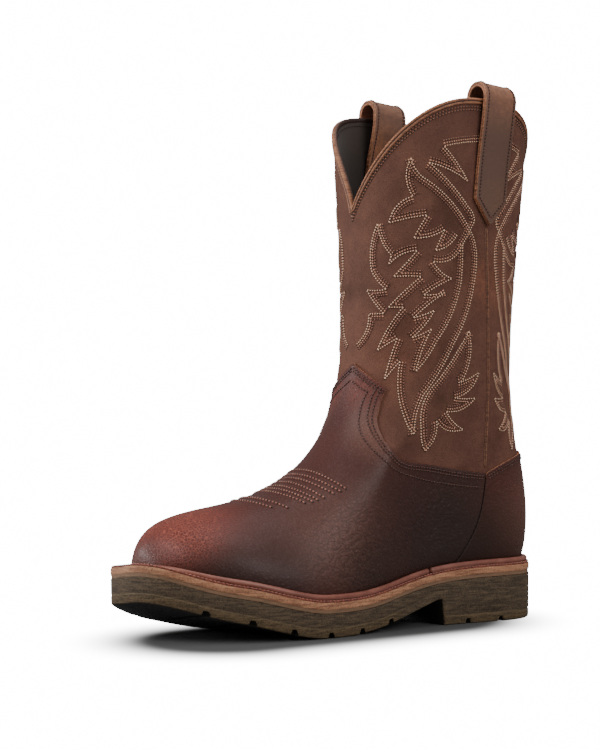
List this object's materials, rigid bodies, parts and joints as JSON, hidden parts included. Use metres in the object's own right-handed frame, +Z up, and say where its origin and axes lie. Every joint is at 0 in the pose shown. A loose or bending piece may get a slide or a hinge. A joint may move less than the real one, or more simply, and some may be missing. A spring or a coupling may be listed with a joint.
{
  "type": "work boot",
  "caption": "Pull-on leather work boot for the left foot with a scalloped shaft, pull straps, a stitched welt and a lugged rubber sole with a heel.",
  "frame": {"origin": "middle of the bounding box on the floor under the sole", "axes": "+Z up from the floor, the toe points along -Y, the outer side of the left foot is +X"},
  "size_m": [0.1238, 0.305, 0.3593],
  "materials": {
    "outsole": "matte moulded rubber with a fine ribbed side",
    "midsole": "tan layered edge, matte",
    "welt": "glossy rolled edge with a stitched flat",
    "insole": "dark matte covering",
    "shaft_leather": "oiled matte leather",
    "vamp_leather": "grained half-gloss leather",
    "counter_leather": "grained dark leather",
    "binding_leather": "folded edge, half-gloss",
    "seam_leather": "raised seam",
    "strap_leather": "folded strap with raw tan edges"
  },
  "bodies": {
    "root": {"outsole": "outsole", "midsole": "midsole", "welt": "welt", "insole": "insole", "upper": "shaft_leather", "vamp": "vamp_leather", "counter": "counter_leather", "collar_binding": "binding_leather", "side_seam_outer": "seam_leather", "side_seam_inner": "seam_leather", "pull_strap_outer": "strap_leather", "pull_strap_inner": "strap_leather"}
  },
  "joints": []
}
